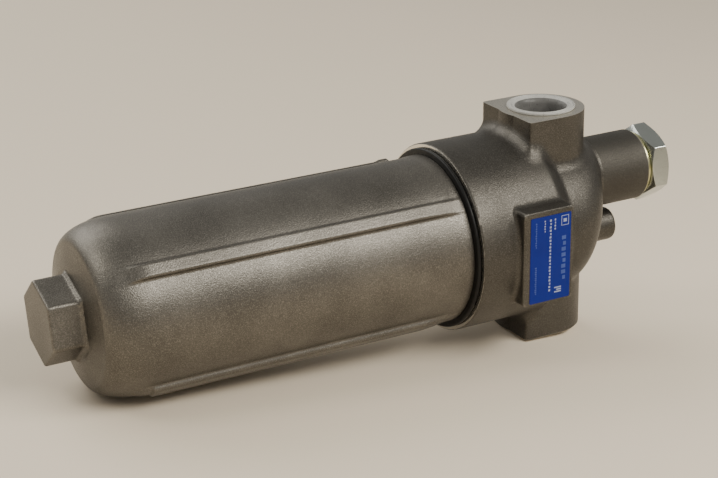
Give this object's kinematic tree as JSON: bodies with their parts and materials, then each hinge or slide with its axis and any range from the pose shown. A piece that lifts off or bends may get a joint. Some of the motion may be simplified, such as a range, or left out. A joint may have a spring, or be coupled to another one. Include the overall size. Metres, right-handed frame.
{
  "type": "inline pressure filter",
  "caption": "Inline pressure filter lying on its side: cast head with opposed ports, screw-on bowl with hexagon end, pleated element and spring bypass valve.",
  "frame": {"origin": "centre of the bounding box's bottom face, straight under the middle of the filter's length, level with the flange of the outlet port plug", "axes": "+X along the main axis from the bowl's hexagon to the valve plug, +Z out of the inlet port, -Y out of the label"},
  "size_m": [0.3928, 0.118, 0.1376],
  "materials": {
    "cast_aluminium": "shot-blasted casting, grey-brown, fine sparkle",
    "black_rubber": "smooth black nitrile rubber",
    "plated_steel": "machined steel with clear zinc plating",
    "yellow_washer": "bonded washer with yellow passivated zinc",
    "machined_steel": "plain turned or pressed steel",
    "spring_steel": "dark oiled spring wire",
    "white_plastic": "milky translucent polyethylene",
    "label_blue": "blue printed film with white plain bars",
    "filter_media": "pleated glass-fibre paper",
    "seal_backing": "off-white backup ring"
  },
  "bodies": {
    "head": {"head_casting": "cast_aluminium", "label_plate": "label_blue", "bypass_seat": "machined_steel", "bypass_seat_o_ring": "black_rubber"},
    "bowl_seal": {"bowl_seal_ring": "black_rubber"},
    "bowl": {"bowl": "cast_aluminium", "bowl_o_ring": "black_rubber", "bowl_backup_ring": "seal_backing", "element_spring": "spring_steel"},
    "element": {"element_top_cap": "machined_steel", "element_bottom_cap": "machined_steel", "element_core_tube": "machined_steel", "element_pleated_media": "filter_media", "element_outer_sleeve": "machined_steel", "element_o_ring": "black_rubber"},
    "poppet": {"bypass_poppet": "machined_steel"},
    "washer": {"valve_plug_washer": "yellow_washer"},
    "plug": {"valve_plug": "plated_steel", "bypass_spring": "spring_steel"},
    "inlet_plug": {"inlet_port_plug": "white_plastic"},
    "outlet_plug": {"outlet_port_plug": "white_plastic"}
  },
  "joints": [
    {"name": "bowl_travel", "type": "slide", "parent": "head", "child": "bowl_seal", "axis": [-1, 0, 0], "range_m": [0, 0.022]},
    {"name": "bowl_turn", "type": "hinge", "parent": "bowl_seal", "child": "bowl", "pos_m": [-0.08, 0, 0.0688], "axis": [-1, 0, 0], "range_deg": [0, 3960]},
    {"name": "element_travel", "type": "slide", "parent": "head", "child": "element", "axis": [-1, 0, 0], "range_m": [0, 0.014], "stiffness_N_per_m": 1500, "springref_m": -0.01, "deforming": ["element_spring"]},
    {"name": "poppet_travel", "type": "slide", "parent": "head", "child": "poppet", "axis": [1, 0, 0], "range_m": [0, 0.006], "stiffness_N_per_m": 8000, "springref_m": -0.013, "deforming": ["bypass_spring"]},
    {"name": "plug_travel", "type": "slide", "parent": "head", "child": "washer", "axis": [1, 0, 0], "range_m": [0, 0.016]},
    {"name": "plug_turn", "type": "hinge", "parent": "washer", "child": "plug", "pos_m": [0.18, 0, 0.08906], "axis": [1, 0, 0], "range_deg": [0, 2880]},
    {"name": "inlet_plug_pull", "type": "slide", "parent": "head", "child": "inlet_plug", "axis": [0, 0, 1], "range_m": [0, 0.02]},
    {"name": "outlet_plug_pull", "type": "slide", "parent": "head", "child": "outlet_plug", "axis": [0, 0, -1], "range_m": [0, 0.02]}
  ],
  "couplings": [
    {"joint": "bowl_travel", "follows": "bowl_turn", "m_per_rad": 0.00031831},
    {"joint": "plug_travel", "follows": "plug_turn", "m_per_rad": 0.00031831}
  ]
}
